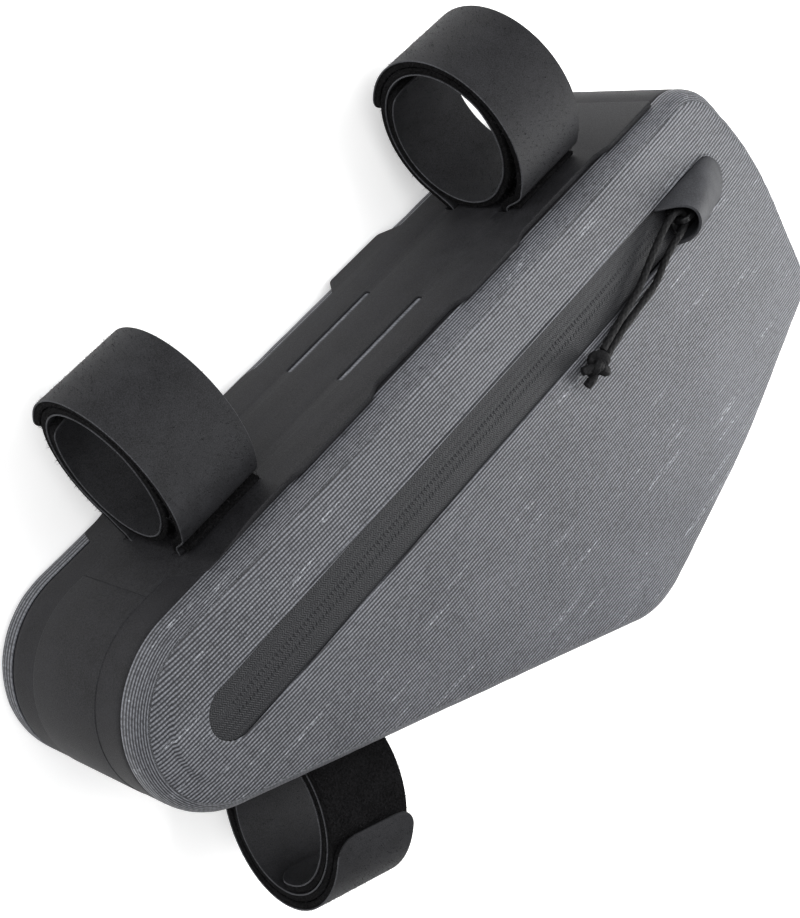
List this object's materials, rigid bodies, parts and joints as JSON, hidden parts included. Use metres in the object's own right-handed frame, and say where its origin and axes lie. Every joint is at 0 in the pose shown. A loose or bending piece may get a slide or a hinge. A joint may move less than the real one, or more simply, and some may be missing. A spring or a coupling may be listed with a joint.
{
  "type": "bicycle frame bag",
  "caption": "Wedge-shaped zipped bag that hangs inside a bicycle's main triangle, with looped hook-and-loop straps on its top and lower edges.",
  "frame": {"origin": "Middle of the flat patch on the back side panel that the bag lies on", "axes": "+X from the rounded nose to the wide rear, +Y towards the top edge with its two straps, +Z out of the zipped side panel"},
  "size_m": [0.2956, 0.1928, 0.0791],
  "materials": {
    "grey_fabric_front": "ribbed coated fabric, satin",
    "grey_fabric_back": "ribbed coated fabric, satin",
    "black_band": "smooth coated fabric, matt",
    "harness_rubber": "smooth rubber-coated sheet, matt",
    "nose_strip_rubber": "smooth rubber-coated sheet, matt",
    "anchor_rubber": "smooth rubber-coated sheet, matt",
    "strap_front_fabric": "hook-and-loop strap, matt",
    "strap_rear_fabric": "hook-and-loop strap, matt",
    "strap_bottom_fabric": "hook-and-loop strap, matt",
    "zip_tape_fabric": "coated coil zip, satin",
    "garage_rubber": "moulded rubber, matt",
    "slider_metal": "black enamel",
    "pull_cord_fabric": "braided cord",
    "cord_knot_fabric": "braided cord"
  },
  "bodies": {
    "root": {"side_panel_front": "grey_fabric_front", "side_panel_back": "grey_fabric_back", "gusset_band": "black_band", "harness": "harness_rubber", "nose_strip": "nose_strip_rubber", "bottom_anchor": "anchor_rubber", "strap_front": "strap_front_fabric", "strap_rear": "strap_rear_fabric", "strap_bottom": "strap_bottom_fabric", "zip_tape": "zip_tape_fabric", "zip_garage": "garage_rubber", "zip_slider": "slider_metal", "pull_cord": "pull_cord_fabric", "cord_knot": "cord_knot_fabric"}
  },
  "joints": []
}
